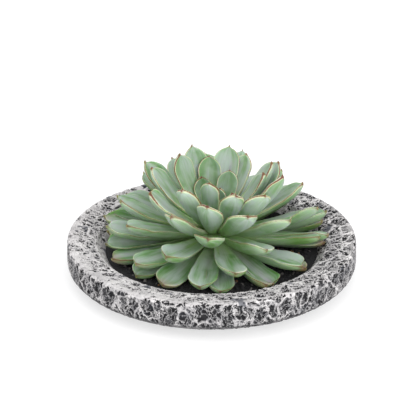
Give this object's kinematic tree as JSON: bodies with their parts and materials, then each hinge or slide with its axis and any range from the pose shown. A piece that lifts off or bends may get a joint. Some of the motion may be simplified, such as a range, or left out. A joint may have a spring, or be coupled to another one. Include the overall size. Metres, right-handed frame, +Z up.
{
  "type": "potted echeveria",
  "caption": "Echeveria rosette with blunt, pointed, red-edged leaves in a shallow round dish of pitted cast stone.",
  "frame": {"origin": "middle of the dish's flat foot, on the surface that it stands on", "axes": "+Z up, -Y towards the front of the plant, +X to the right as seen from the front"},
  "size_m": [0.18, 0.18, 0.078],
  "materials": {
    "cast_stone": "rough cast, pitted, light grey ridges round dark pits",
    "potting_mix": "loose, dark, coarse",
    "leaf": "succulent leaf with a waxy bloom, thin red-brown margin"
  },
  "bodies": {
    "root": {"dish": "cast_stone", "soil": "potting_mix", "rosette": "leaf"}
  },
  "joints": []
}
